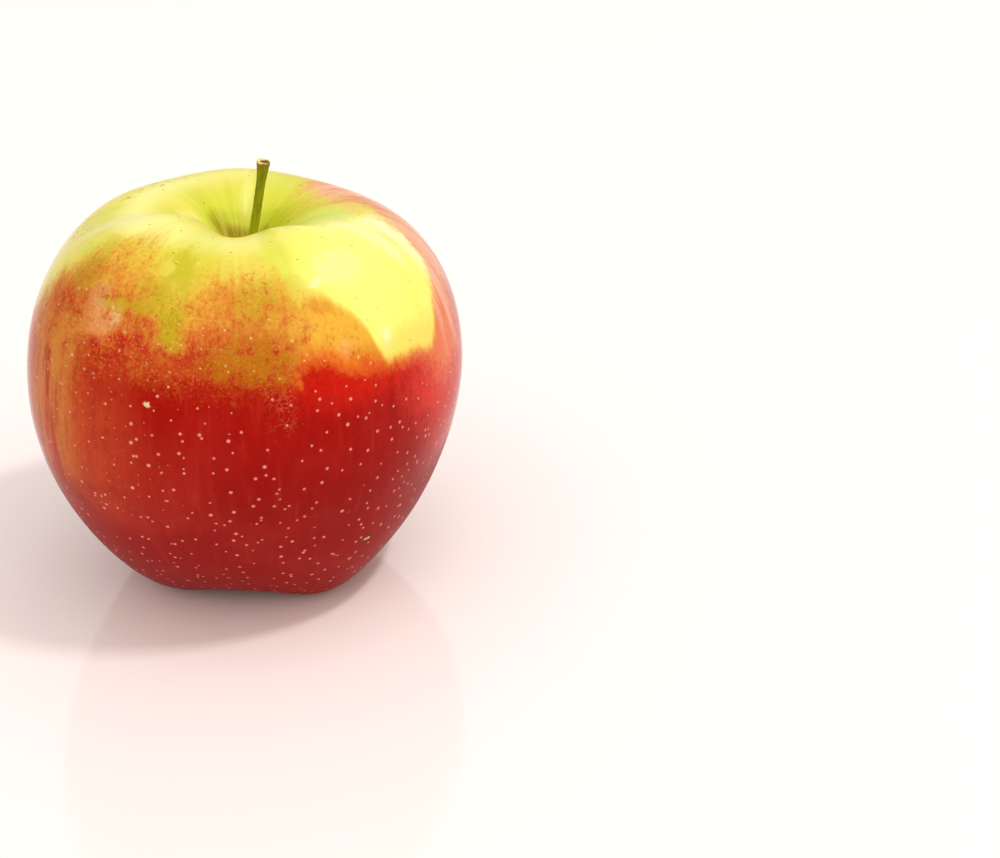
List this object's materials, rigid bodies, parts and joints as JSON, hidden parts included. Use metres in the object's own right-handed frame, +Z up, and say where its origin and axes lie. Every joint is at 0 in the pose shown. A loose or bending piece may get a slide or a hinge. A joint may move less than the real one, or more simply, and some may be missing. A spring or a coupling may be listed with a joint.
{
  "type": "apple",
  "caption": "Ripe dessert apple, red below and yellow on its shoulder, standing on its eye end, with ribbed shoulders, a short green stalk and a dried calyx underneath.",
  "frame": {"origin": "under the middle of the apple's box, at the level it stands on", "axes": "+Z up along the core, -Y towards the side with two high shoulders and the groove between them, +X to the side the stalk leans to"},
  "size_m": [0.0772, 0.0798, 0.0794],
  "materials": {
    "skin": "waxy apple skin: crimson below, orange mottle round the middle, lemon yellow on the front shoulder and in the stalk cavity, with pale lenticels",
    "stalk": "olive green, faintly ribbed along its length, with a pale cut rim and a brown broken centre",
    "dry_calyx": "dry brown sepal tissue with pale felted edges",
    "stamens": "dark dry filaments"
  },
  "bodies": {
    "root": {"fruit": "skin", "stalk": "stalk", "calyx_cup": "dry_calyx", "sepal_1": "dry_calyx", "sepal_2": "dry_calyx", "sepal_3": "dry_calyx", "sepal_4": "dry_calyx", "sepal_5": "dry_calyx", "stamen_tuft": "stamens"}
  },
  "joints": []
}
